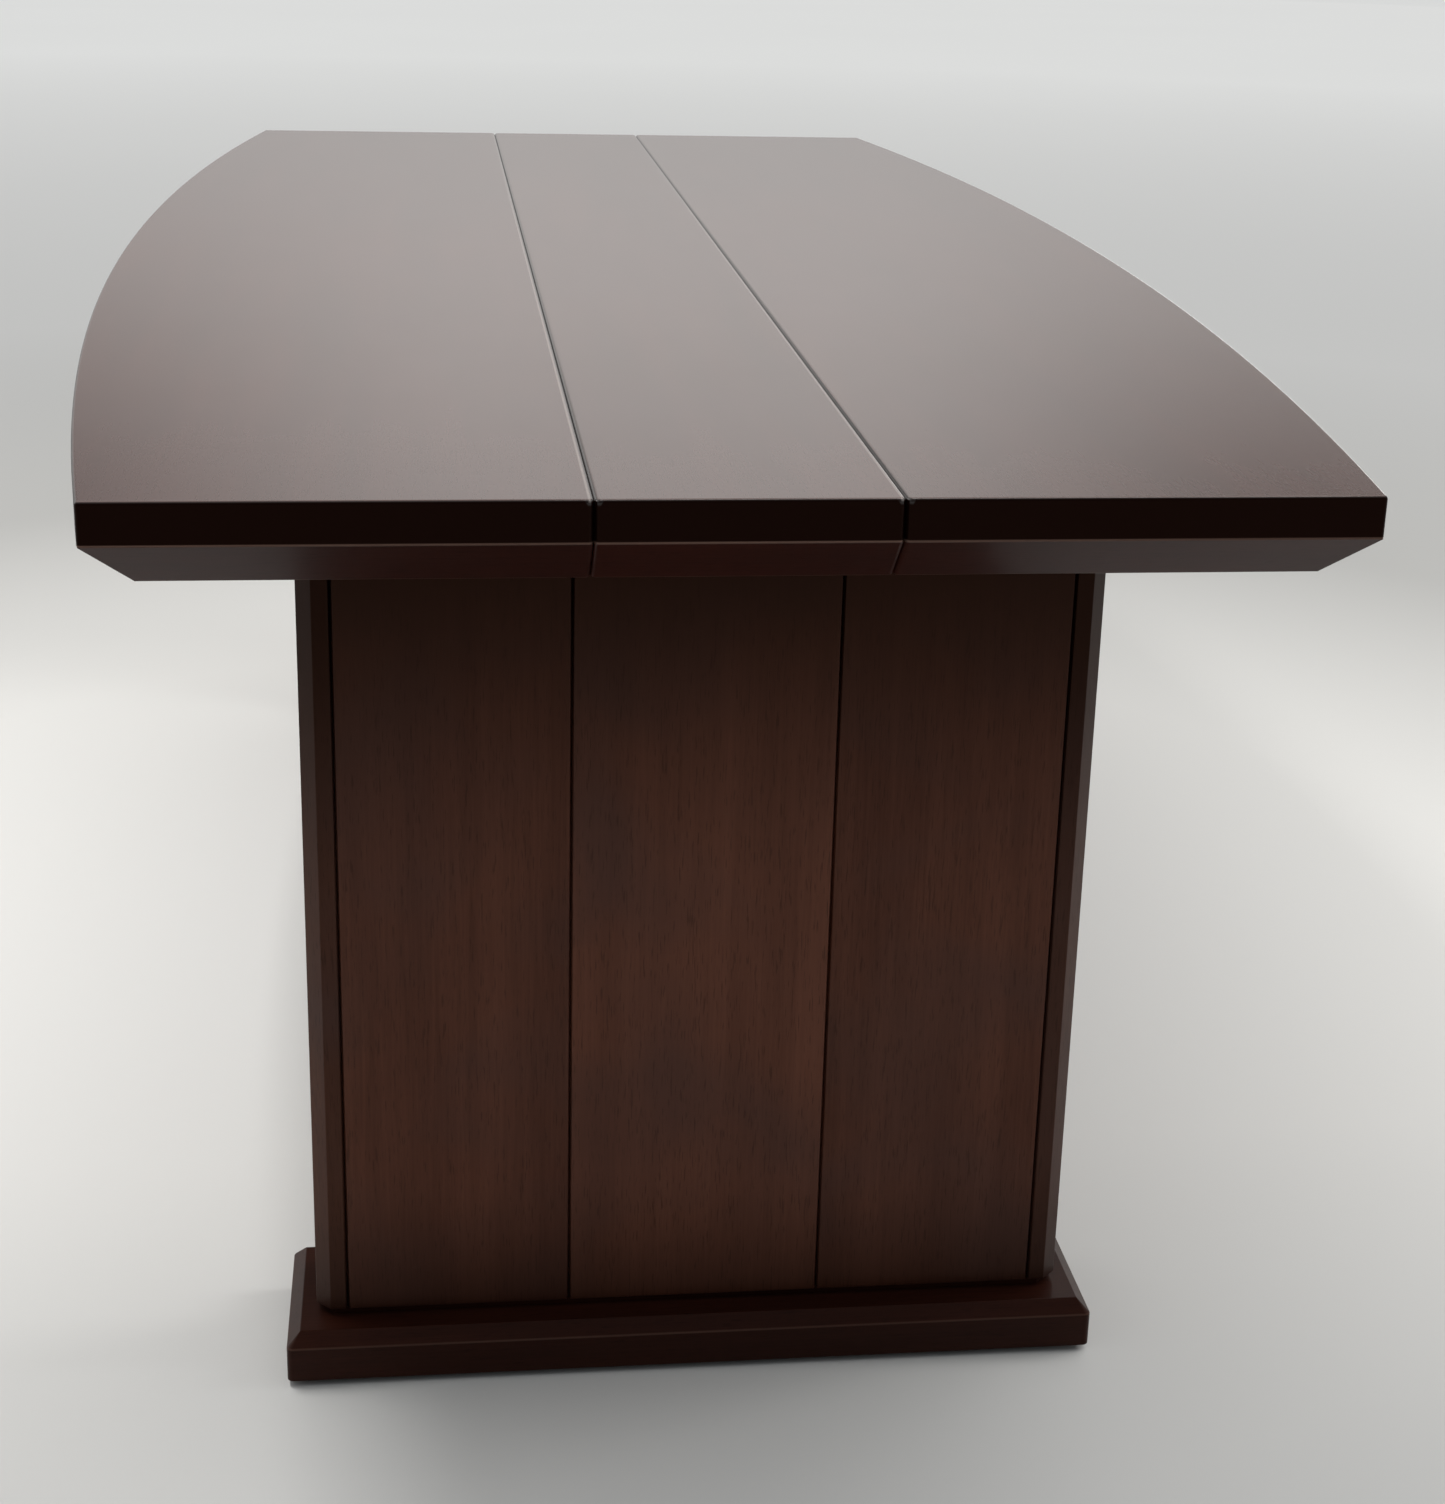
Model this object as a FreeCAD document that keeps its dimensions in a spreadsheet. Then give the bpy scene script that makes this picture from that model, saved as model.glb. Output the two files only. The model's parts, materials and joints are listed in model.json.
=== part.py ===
# Boat-shaped meeting table: a three-board top with a bevelled edge, on two panelled slab legs.
# Millimetres. X runs across the table, Y along it and Z up. The origin is on the floor, under
# the middle of the top. The near end is at -Y and the far end at +Y.
import FreeCAD, Part
import os
import re
import Sketcher

os.makedirs("parts", exist_ok=True)
doc = FreeCAD.newDocument("meeting_table")
sheet = doc.addObject("Spreadsheet::Sheet", "sizes")

driving_dimensions = {
    # the top
    "table_height": 765,
    "top_length": 2100,
    "top_width_middle": 995,
    "top_width_end": 840,
    "board_thickness": 29,
    "centre_board_width": 200,
    "joint_chamfer": 2.5,
    "tongue_width": 20,
    "tongue_thickness": 5,
    "tongue_end_gap": 60,
    "bevel_height": 32,
    "bevel_inset": 35,
    "strip_width": 80,
    "batten_length": 760,
    "batten_width": 70,
    "batten_spacing": 460,
    "cut_allowance": 1,
    # the slab legs
    "leg_setback": 219,
    "leg_width": 600,
    "leg_depth": 86,
    "leg_chamfer": 11.5,
    "stile_width": 25,
    "facing_thickness": 19,
    "facing_chamfer": 1.9,
    "top_rail_height": 120,
    "bottom_rail_height": 60,
    "neck_height": 6,
    "neck_inset": 4,
    "plate_width": 500,
    "plate_depth": 160,
    "plate_thickness": 5,
    # the plinths and their levelling feet
    "plinth_width": 645,
    "plinth_depth": 146,
    "plinth_face_height": 28.5,
    "plinth_chamfer": 10.5,
    "foot_gap": 5,
    "foot_spacing_across": 520,
    "foot_spacing_along": 84,
    "foot_radius": 17,
    "foot_thickness": 4.5,
    "foot_chamfer": 0.9,
    "stem_radius": 3.95,
    "stem_length": 31,
    "insert_radius": 6,
    "insert_bore": 4,
    "insert_length": 15,
    "foot_hole_depth": 34,
    # the beam between the legs
    "stretcher_height": 120,
    "stretcher_thickness": 28,
    "bolt_radius": 4,
    "bolt_spacing": 50,
    "bolt_length": 115,
    "bolt_end_cover": 20,
    "barrel_radius": 6,
    "barrel_length": 20,
    "barrel_setback": 45,
    # the screws
    "screw_radius": 2.5,
    "screw_head_radius": 5,
    "screw_head_height": 3,
    "screw_bite": 20,
    "joint_screw_distance": 60,
    "side_screw_distance": 110,
    "plate_screw_margin": 20,
    "plate_screw_setback": 10,
    "rail_screw_spacing": 100,
    "plinth_screw_radius": 3,
    "plinth_screw_head_radius": 6,
    "plinth_screw_head_height": 6,
    "plinth_screw_recess": 10,
    "plinth_screw_bite": 45,
    "plinth_screw_spacing": 180,
}
for row, (alias, value) in enumerate(driving_dimensions.items(), start=1):
    sheet.set(f"A{row}", alias.replace("_", " "))
    sheet.set(f"B{row}", str(value))
    sheet.setAlias(f"B{row}", alias)
doc.recompute()

# Levels and places that follow from the driving dimensions, as expressions.
board_under = "(table_height - board_thickness)"
strip_under = "(table_height - board_thickness - bevel_height)"
leg_top = "(table_height - board_thickness - plate_thickness)"
plinth_top = "(foot_gap + plinth_face_height + plinth_chamfer)"
leg_bottom = "(foot_gap + plinth_face_height + plinth_chamfer + neck_height)"
top_end = "(top_length / 2)"
joint = "(centre_board_width / 2)"
side_radius = (
    "((top_length ^ 2 + (top_width_middle - top_width_end) ^ 2)"
    " / (4 * (top_width_middle - top_width_end)))"
)
side_centre = f"(top_width_middle / 2 - {side_radius})"
# A corner of the top, and the corner of the strips' inner edges: the mitre runs between them.
corner = ("(top_width_end / 2)", top_end)
strip_inner_end = "(top_length / 2 - strip_width)"
inner_corner = (
    f"({side_centre} + sqrt(({side_radius} - strip_width) ^ 2 - {strip_inner_end} ^ 2))",
    strip_inner_end,
)

parts = []
tolerance = 0.01


def size(expression):
    """The value of an expression in the sheet's cells."""
    return float(sheet.evalExpression(expression))


def bind(item, name, expression):
    """Bind a property to the sheet's cells."""
    cells = r"[a-z]+(_[a-z]+)+"
    item.setExpression(name, re.sub(cells, lambda word: "sizes." + word.group(), expression))


def new_body(label):
    body = doc.addObject("PartDesign::Body", label)
    body.Label = label
    parts.append(body)
    return body


def new_sketch(body, plane, offset):
    """A sketch on one of the body's origin planes, moved along the plane's normal."""
    sketch = body.newObject("Sketcher::SketchObject", body.Label + "_sketch")
    base = [item for item in body.Origin.OriginFeatures if item.Role == plane]
    sketch.AttachmentSupport = [(base[0], "")]
    sketch.MapMode = "FlatFace"
    bind(sketch, "AttachmentOffset.Base.z", offset)
    return sketch


def locate(sketch, number, point, place):
    """Hold a point of a sketch's geometry at a place given by two expressions."""
    for kind, distance in zip(("DistanceX", "DistanceY"), place):
        constraint = Sketcher.Constraint(kind, number, point, size(distance))
        index = sketch.addConstraint(constraint)
        bind(sketch, f"Constraints[{index}]", distance)


def hold_radius(sketch, number, radius):
    index = sketch.addConstraint(Sketcher.Constraint("Radius", number, size(radius)))
    bind(sketch, f"Constraints[{index}]", radius)


def draw_outline(sketch, corners, arc_edge=None, arc_radius=None, arc_centre=None):
    """A closed outline through the corners, anticlockwise. One edge may bulge out as an arc."""
    points = [FreeCAD.Vector(size(across), size(up), 0) for across, up in corners]
    for number, start in enumerate(points):
        end = points[(number + 1) % len(points)]
        if number == arc_edge:
            middle = FreeCAD.Vector(size(arc_centre[0]), size(arc_centre[1]), 0)
            circle = Part.Circle(middle, FreeCAD.Vector(0, 0, 1), size(arc_radius))
            first = circle.parameter(start)
            last = circle.parameter(end)
            sketch.addGeometry(Part.ArcOfCircle(circle, first, last), False)
        else:
            sketch.addGeometry(Part.LineSegment(start, end), False)
    for number, place in enumerate(corners):
        before = (number - 1) % len(points)
        sketch.addConstraint(Sketcher.Constraint("Coincident", before, 2, number, 1))
        locate(sketch, number, 1, place)
    if arc_edge is not None:
        hold_radius(sketch, arc_edge, arc_radius)


def add_feature(body, kind, sketch):
    feature = body.newObject("PartDesign::" + kind, body.Label + "_" + kind.lower())
    feature.Profile = sketch
    body.Tip = feature
    return feature


def pad(body, sketch, length):
    feature = add_feature(body, "Pad", sketch)
    bind(feature, "Length", length)


def cut(body, sketch, length):
    """A pocket along the sketch's normal, which has to take something away."""
    doc.recompute()
    before = body.Shape.Volume
    feature = add_feature(body, "Pocket", sketch)
    feature.Reversed = True
    bind(feature, "Length", length)
    doc.recompute()
    if before - body.Shape.Volume < 1:
        raise RuntimeError(body.Label + ": a pocket cuts nothing")


def drill(body, plane, start, places, radius, length):
    """Round holes from a start level along the plane's normal."""
    sketch = new_sketch(body, plane, start)
    for number, place in enumerate(places):
        centre = FreeCAD.Vector(size(place[0]), size(place[1]), 0)
        circle = Part.Circle(centre, FreeCAD.Vector(0, 0, 1), size(radius))
        sketch.addGeometry(circle, False)
        locate(sketch, number, 3, place)
        hold_radius(sketch, number, radius)
    cut(body, sketch, length)


def chamfer(body, distance, wanted):
    """Chamfer the edges of the body for which wanted(edge) is true."""
    doc.recompute()
    base = body.Tip
    names = [f"Edge{n}" for n, edge in enumerate(base.Shape.Edges, start=1) if wanted(edge)]
    feature = body.newObject("PartDesign::Chamfer", body.Label + "_chamfer")
    feature.Base = (base, names)
    bind(feature, "Size", distance)
    body.Tip = feature


def slab(label, corners, low, high, **arc):
    """A flat piece with a plan outline, from one level to another."""
    body = new_body(label)
    sketch = new_sketch(body, "XY_Plane", low)
    draw_outline(sketch, corners, **arc)
    pad(body, sketch, f"{high} - {low}")
    return body


def block(left, right, near, far):
    """The plan outline of a rectangular piece."""
    return [(left, near), (right, near), (right, far), (left, far)]


def turned(corners, turn):
    """The same outline, or with a turn of -1 the outline turned half way round the origin."""
    return [(f"{turn} * {across}", f"{turn} * {up}") for across, up in corners]


def shifted(corners, along):
    """The outline moved along the table."""
    return [(across, f"{up} + {along}") for across, up in corners]


def at_level(level):
    """A test for edges that lie flat at a level."""
    height = size(level)
    return lambda edge: all(abs(vertex.Z - height) < tolerance for vertex in edge.Vertexes)


def round_solid(profile):
    """A solid turned about Z, from a profile of radius and height expressions."""
    points = [FreeCAD.Vector(size(radius), 0, size(height)) for radius, height in profile]
    face = Part.Face(Part.makePolygon(points + points[:1]))
    return face.revolve(FreeCAD.Vector(0, 0, 0), FreeCAD.Vector(0, 0, 1), 360)


def copies(solid, places, axis=(0, 0, 1)):
    """Copies of a solid at the places, turned so that its own Z lies on the axis."""
    rotation = FreeCAD.Rotation(FreeCAD.Vector(0, 0, 1), FreeCAD.Vector(*axis))
    solids = []
    for place in places:
        centre = FreeCAD.Vector(*(size(distance) for distance in place))
        copy = solid.copy()
        copy.Placement = FreeCAD.Placement(centre, rotation)
        solids.append(copy)
    return solids


def group(label, solids):
    """One node that holds identical pieces as separate solids."""
    feature = doc.addObject("Part::Feature", label)
    feature.Label = label
    feature.Shape = Part.makeCompound(solids)
    feature.Placement = FreeCAD.Placement()
    parts.append(feature)


def countersunk_screw(length):
    """A screw that points up, with the flat of its countersunk head at level 0."""
    return round_solid(
        [
            ("0", "0"),
            ("screw_head_radius", "0"),
            ("screw_radius", "(screw_head_radius - screw_radius)"),
            ("screw_radius", length),
            ("0", length),
        ]
    )


def round_edge_at(level, radius, across=None):
    """A test for the circular edges of one radius at a level, which may be limited by place."""
    def test(edge):
        if not isinstance(edge.Curve, Part.Circle):
            return False
        misfits = [
            edge.Curve.Radius - radius,
            edge.BoundBox.ZMin - level,
            edge.BoundBox.ZMax - level,
        ]
        fits = all(abs(misfit) < tolerance for misfit in misfits)
        return fits and (across is None or across(edge.Curve.Center))

    return test


# ---- Places of the screws that hold the battens and the leg plates to the boards ----

leg_centre = "(top_length / 2 - leg_setback - leg_depth / 2)"
leg_ends = {"near": -1, "far": 1}
batten_places = {"near": "-batten_spacing", "middle": "0", "far": "batten_spacing"}
plate_screw_line = "(plate_depth / 2 - plate_screw_setback)"
# Across the table, a screw in a side board and one in the centre board lie beside each joint.
side_board_line = f"({joint} + joint_screw_distance)"
centre_board_line = f"({joint} - joint_screw_distance)"
batten_end_line = "(top_width_end / 2 - side_screw_distance)"
plate_end_line = "(plate_width / 2 - plate_screw_margin)"
screws_in_board = {
    -1: [f"(-{batten_end_line})", f"(-{side_board_line})"],
    0: [f"(-{centre_board_line})", centre_board_line],
    1: [side_board_line, batten_end_line],
}
plate_screws_in_board = {
    -1: [f"(-{plate_end_line})", f"(-{side_board_line})"],
    0: [f"(-{centre_board_line})", centre_board_line],
    1: [side_board_line, plate_end_line],
}


def plate_screw_places(column, side):
    """The plate's screws into one board: two across, on both sides of the leg."""
    lines = [f"{side} * {leg_centre} + {way} * {plate_screw_line}" for way in (-1, 1)]
    return [(across, line) for across in plate_screws_in_board[column] for line in lines]


def board_screw_places(column):
    """All the screws that come up into one board."""
    places = [
        (across, along)
        for across in screws_in_board[column]
        for along in batten_places.values()
    ]
    for side in leg_ends.values():
        places += plate_screw_places(column, side)
    return places


# ---- The top: three boards on loose tongues ----

slot_bottom = f"({board_under} + board_thickness / 2 - tongue_thickness / 2)"
slot_end = "(top_length / 2 - tongue_end_gap)"


def tongue_slot(board, turn):
    """The slot for the loose tongue in a board's edge at the joint."""
    sketch = new_sketch(board, "XY_Plane", slot_bottom)
    slot = block(
        f"({joint} - tongue_width / 2)",
        f"({joint} + tongue_width / 2)",
        f"(-{slot_end})",
        slot_end,
    )
    draw_outline(sketch, turned(slot, turn))
    cut(board, sketch, "tongue_thickness")


centre_outline = [
    (f"(-{joint} + joint_chamfer)", f"(-{top_end})"),
    (f"({joint} - joint_chamfer)", f"(-{top_end})"),
    (joint, f"(-{top_end} + joint_chamfer)"),
    (joint, f"({top_end} - joint_chamfer)"),
    (f"({joint} - joint_chamfer)", top_end),
    (f"(-{joint} + joint_chamfer)", top_end),
    (f"(-{joint})", f"({top_end} - joint_chamfer)"),
    (f"(-{joint})", f"(-{top_end} + joint_chamfer)"),
]
side_outline = [
    (f"({joint} + joint_chamfer)", f"(-{top_end})"),
    (corner[0], f"(-{top_end})"),
    corner,
    (f"({joint} + joint_chamfer)", top_end),
    (joint, f"({top_end} - joint_chamfer)"),
    (joint, f"(-{top_end} + joint_chamfer)"),
]

boards = {}
boards["centre"] = slab("top_board_centre", centre_outline, board_under, "table_height")
for name, turn in (("left", -1), ("right", 1)):
    boards[name] = slab(
        "top_board_" + name,
        turned(side_outline, turn),
        board_under,
        "table_height",
        arc_edge=1,
        arc_radius=side_radius,
        arc_centre=(f"{turn} * {side_centre}", "0"),
    )
for name, column in (("left", -1), ("centre", 0), ("right", 1)):
    board = boards[name]
    chamfer(board, "joint_chamfer", at_level("table_height"))
    for turn in (-1, 1):
        if turn == column or column == 0:
            tongue_slot(board, turn)
    drill(
        board,
        "XY_Plane",
        board_under,
        board_screw_places(column),
        "screw_radius",
        "screw_bite",
    )

for name, turn in (("left", -1), ("right", 1)):
    tongue = block(
        f"({joint} - tongue_width / 2)",
        f"({joint} + tongue_width / 2)",
        f"(-{slot_end})",
        slot_end,
    )
    slab(
        "top_joint_tongue_" + name,
        turned(tongue, turn),
        slot_bottom,
        f"({slot_bottom} + tongue_thickness)",
    )

# ---- The bevelled strips under the top's edge, mitred at the corners ----

# How far a cut reaches past each end of a mitre, as a share of the mitre's length.
mitre_reach = 0.25


def past(start, end):
    """The point a little past the end of a line, as expressions."""
    return tuple(
        f"({last} + {mitre_reach} * ({last} - {first}))"
        for first, last in zip(start, end)
    )


mitre_outside = past(inner_corner, corner)
mitre_inside = past(corner, inner_corner)


def cut_mitre(strip, waste, turn, end):
    """Cut a strip off along its mitre, with the waste's outline turned to the strip's corner."""
    sketch = new_sketch(strip, "XY_Plane", f"({strip_under} - cut_allowance)")
    outline = [(f"{turn} * {across}", f"{end} * {along}") for across, along in waste]
    draw_outline(sketch, outline)
    cut(strip, sketch, "(bevel_height + 2 * cut_allowance)")


def on_joint_bevel(edge):
    """True for the edge of a strip's sloping face at a joint between boards."""
    joint_place = size(joint)
    at_joint = all(abs(abs(vertex.X) - joint_place) < tolerance for vertex in edge.Vertexes)
    reaches = max(abs(vertex.Y) for vertex in edge.Vertexes) > size(top_end) - tolerance
    return at_joint and reaches and edge.BoundBox.ZLength > size("bevel_height") - tolerance


side_span = f"({corner[0]} - {joint})"
strip_spans = {
    -1: (f"(-{corner[0]})", side_span),
    0: (f"(-{joint})", "centre_board_width"),
    1: (joint, side_span),
}
for end_name, end in leg_ends.items():
    section = [
        (f"{end} * {top_end}", board_under),
        (f"{end} * ({top_end} - bevel_inset)", strip_under),
        (f"{end} * {strip_inner_end}", strip_under),
        (f"{end} * {strip_inner_end}", board_under),
    ]
    for name, column in (("left", -1), ("centre", 0), ("right", 1)):
        strip = new_body(f"edge_strip_{end_name}_{name}")
        start, length = strip_spans[column]
        sketch = new_sketch(strip, "YZ_Plane", start)
        draw_outline(sketch, section)
        pad(strip, sketch, length)
        if column:
            beside = (mitre_outside[0], mitre_inside[1])
            cut_mitre(strip, [mitre_outside, mitre_inside, beside], column, end)
        chamfer(strip, "joint_chamfer", on_joint_bevel)

for name, turn in (("left", -1), ("right", 1)):
    strip = new_body(f"edge_strip_{name}_side")
    section = [
        (f"{turn} * (top_width_middle / 2)", board_under),
        (f"{turn} * (top_width_middle / 2 - bevel_inset)", strip_under),
        (f"{turn} * (top_width_middle / 2 - strip_width)", strip_under),
        (f"{turn} * (top_width_middle / 2 - strip_width)", board_under),
    ]
    sketch = new_sketch(strip, "XZ_Plane", "0")
    draw_outline(sketch, section)
    axis_foot = FreeCAD.Vector(size(f"{turn} * {side_centre}"), 0, 0)
    axis_line = Part.LineSegment(axis_foot, axis_foot + FreeCAD.Vector(0, size("bevel_inset"), 0))
    number = sketch.addGeometry(axis_line, True)
    locate(sketch, number, 1, (f"{turn} * {side_centre}", "0"))
    locate(sketch, number, 2, (f"{turn} * {side_centre}", "bevel_inset"))
    sweep = add_feature(strip, "Revolution", sketch)
    sweep.ReferenceAxis = (sketch, ["Axis0"])
    sweep.Midplane = True
    bind(sweep, "Angle", f"2 * asin({top_end} / {side_radius})")
    beyond = (f"({mitre_inside[0]} - strip_width / 2)", mitre_outside[1])
    for end in leg_ends.values():
        cut_mitre(strip, [mitre_outside, mitre_inside, beyond], turn, end)

# ---- Battens across the boards ----

for name, centre in batten_places.items():
    outline = block(
        "(-batten_length / 2)",
        "(batten_length / 2)",
        "(-batten_width / 2)",
        "(batten_width / 2)",
    )
    batten = slab("top_batten_" + name, shifted(outline, centre), strip_under, board_under)
    places = [(across, centre) for row in screws_in_board.values() for across in row]
    drill(batten, "XY_Plane", strip_under, places, "screw_radius", "bevel_height")
    sunk = round_edge_at(size(strip_under), size("screw_radius"))
    chamfer(batten, "(screw_head_radius - screw_radius)", sunk)

batten_screw_places = [
    (across, centre, strip_under)
    for row in screws_in_board.values()
    for across in row
    for centre in batten_places.values()
]
long_screw = countersunk_screw("(bevel_height + screw_bite)")
group("top_batten_screws", copies(long_screw, batten_screw_places))

# ---- The stretcher beam between the legs ----

stretcher_end = "(top_length / 2 - leg_setback - leg_depth)"
bolt_far_end = "(top_length / 2 - leg_setback - bolt_end_cover - facing_thickness)"
bolt_levels = [
    f"({strip_under} - stretcher_height / 2 + {way} * bolt_spacing / 2)" for way in (-1, 1)
]
bolt_starts = {-1: f"({bolt_far_end} - bolt_length)", 1: f"(-{bolt_far_end})"}


def drill_bolt_holes(body, side):
    """The holes for the bolts that run along the table through one end's pieces."""
    places = [("0", level) for level in bolt_levels]
    drill(body, "XZ_Plane", bolt_starts[side], places, "bolt_radius", "bolt_length")


stretcher = slab(
    "stretcher_beam",
    block(
        "(-stretcher_thickness / 2)",
        "(stretcher_thickness / 2)",
        f"(-{stretcher_end})",
        stretcher_end,
    ),
    f"({strip_under} - stretcher_height)",
    strip_under,
)
barrel_lines = [f"{side} * ({stretcher_end} - barrel_setback)" for side in leg_ends.values()]
for side in leg_ends.values():
    drill_bolt_holes(stretcher, side)
drill(
    stretcher,
    "YZ_Plane",
    "(-barrel_length / 2)",
    [(line, level) for line in barrel_lines for level in bolt_levels],
    "barrel_radius",
    "(barrel_length / 2 + stretcher_thickness / 2)",
)

barrel = Part.makeCylinder(
    size("barrel_radius"),
    size("barrel_length"),
    FreeCAD.Vector(0, 0, -size("barrel_length") / 2),
)
cross_hole = Part.makeCylinder(
    size("bolt_radius"),
    2 * size("barrel_length"),
    FreeCAD.Vector(0, -size("barrel_length"), 0),
    FreeCAD.Vector(0, 1, 0),
)
barrel_places = [("0", line, level) for line in barrel_lines for level in bolt_levels]
group("stretcher_barrel_nuts", copies(barrel.cut(cross_hole), barrel_places, (1, 0, 0)))

stud = Part.makeCylinder(size("bolt_radius"), size("bolt_length"))
studs = []
for side in leg_ends.values():
    places = [("0", f"{side} * {bolt_far_end}", level) for level in bolt_levels]
    studs += copies(stud, places, (0, -side, 0))
group("stretcher_bolts", studs)

# ---- The slab legs, their plinths and levelling feet ----

facing_edges = ["(-leg_width / 2 + stile_width)", f"(-{joint})", joint]
facing_edges.append("(leg_width / 2 - stile_width)")
rail_screw_line = [f"{step} * rail_screw_spacing" for step in (-2, -1, 1, 2)]
plinth_screw_line = [f"{step} * plinth_screw_spacing" for step in (-1, 0, 1)]
plinth_screw_level = "(foot_gap + plinth_screw_recess)"
plinth_screw_length = f"({leg_bottom} + plinth_screw_bite - {plinth_screw_level})"


def stile_outline():
    """A corner post with chamfered outer corners and eased edges at the facing boards."""
    inner = "(leg_width / 2 - stile_width)"
    outer = "(leg_width / 2)"
    front = "(-leg_depth / 2)"
    back = "(leg_depth / 2)"
    return [
        (inner, f"({front} + facing_chamfer)"),
        (f"({inner} + facing_chamfer)", front),
        (f"({outer} - leg_chamfer)", front),
        (outer, f"({front} + leg_chamfer)"),
        (outer, f"({back} - leg_chamfer)"),
        (f"({outer} - leg_chamfer)", back),
        (f"({inner} + facing_chamfer)", back),
        (inner, f"({back} - facing_chamfer)"),
    ]


def facing_outline(column):
    """A facing board on the leg's -Y side, with eased vertical edges."""
    left = facing_edges[column + 1]
    right = facing_edges[column + 2]
    front = "(-leg_depth / 2)"
    return [
        (f"({left} + facing_chamfer)", front),
        (f"({right} - facing_chamfer)", front),
        (right, f"({front} + facing_chamfer)"),
        (right, f"({front} + facing_thickness)"),
        (left, f"({front} + facing_thickness)"),
        (left, f"({front} + facing_chamfer)"),
    ]


def neck_outline():
    """The recessed block between the leg's boards and the plinth."""
    half = "(leg_width / 2 - neck_inset)"
    deep = "(leg_depth / 2 - neck_inset)"
    return [
        (f"(-{half})", f"(-{deep} + leg_chamfer)"),
        (f"(-{half} + leg_chamfer)", f"(-{deep})"),
        (f"({half} - leg_chamfer)", f"(-{deep})"),
        (half, f"(-{deep} + leg_chamfer)"),
        (half, f"({deep} - leg_chamfer)"),
        (f"({half} - leg_chamfer)", deep),
        (f"(-{half} + leg_chamfer)", deep),
        (f"(-{half})", f"({deep} - leg_chamfer)"),
    ]


def core_rail(label, along, low, high):
    """A rail between the stiles, behind the facing boards."""
    half = "(leg_width / 2 - stile_width)"
    deep = "(leg_depth / 2 - facing_thickness)"
    outline = block(f"(-{half})", half, f"(-{deep})", deep)
    return slab(label, shifted(outline, along), low, high)


def levelling_foot(label, across, along):
    """A round glide with a stem that screws up into the plinth."""
    foot = new_body(label)
    sketch = new_sketch(foot, "XZ_Plane", "0")
    stem_top = "(foot_thickness + stem_length)"
    draw_outline(
        sketch,
        [
            ("0", "0"),
            ("(foot_radius - foot_chamfer)", "0"),
            ("foot_radius", "foot_chamfer"),
            ("foot_radius", "(foot_thickness - foot_chamfer)"),
            ("(foot_radius - foot_chamfer)", "foot_thickness"),
            ("stem_radius", "foot_thickness"),
            ("stem_radius", f"({stem_top} - foot_chamfer)"),
            ("(stem_radius - foot_chamfer)", stem_top),
            ("0", stem_top),
        ],
    )
    turn = add_feature(foot, "Revolution", sketch)
    turn.ReferenceAxis = (sketch, ["V_Axis"])
    turn.Angle = 360
    bind(foot, "Placement.Base.x", across)
    bind(foot, "Placement.Base.y", along)


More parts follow.
